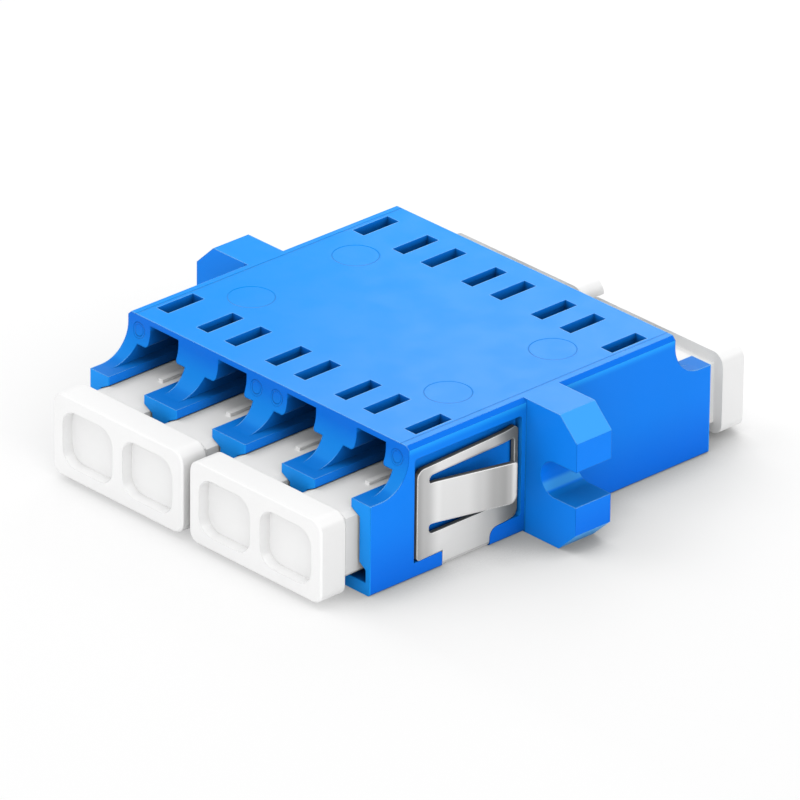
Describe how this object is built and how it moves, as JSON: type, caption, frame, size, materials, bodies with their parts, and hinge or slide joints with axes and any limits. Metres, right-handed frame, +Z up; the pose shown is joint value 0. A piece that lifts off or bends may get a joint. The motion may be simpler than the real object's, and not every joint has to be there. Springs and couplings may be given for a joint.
{
  "type": "fibre optic adapter",
  "caption": "Flat flanged fibre optic adapter block with a row of connector ports at each end, latch windows, a folded spring clip and push-in dust caps.",
  "frame": {"origin": "middle of the block in plan, on its underside", "axes": "+X along the row of ports, +Y along the fibres from the clip's end to the other end, +Z up"},
  "size_m": [0.0344, 0.0362, 0.0092],
  "materials": {
    "blue_moulding": "bright blue, fine satin moulding",
    "white_moulding": "soft white, satin",
    "spring_steel": "satin stainless sheet with bright cut edges",
    "ceramic": "polished off-white ceramic"
  },
  "bodies": {
    "block": {"housing": "blue_moulding", "spring_clip": "spring_steel", "sleeve_1": "ceramic", "sleeve_2": "ceramic", "sleeve_3": "ceramic", "sleeve_4": "ceramic", "sleeve_holder_1": "blue_moulding", "sleeve_holder_2": "blue_moulding", "sleeve_holder_3": "blue_moulding", "sleeve_holder_4": "blue_moulding"},
    "cap_front_left": {"cap_front_left": "white_moulding"},
    "cap_front_right": {"cap_front_right": "white_moulding"},
    "cap_back_left": {"cap_back_left": "white_moulding"},
    "cap_back_right": {"cap_back_right": "white_moulding"}
  },
  "joints": [
    {"name": "cap_front_left_pull", "type": "slide", "parent": "block", "child": "cap_front_left", "axis": [0, -1, 0], "range_m": [0, 0.012]},
    {"name": "cap_front_right_pull", "type": "slide", "parent": "block", "child": "cap_front_right", "axis": [0, -1, 0], "range_m": [0, 0.012]},
    {"name": "cap_back_left_pull", "type": "slide", "parent": "block", "child": "cap_back_left", "axis": [0, 1, 0], "range_m": [0, 0.012]},
    {"name": "cap_back_right_pull", "type": "slide", "parent": "block", "child": "cap_back_right", "axis": [0, 1, 0], "range_m": [0, 0.012]}
  ]
}
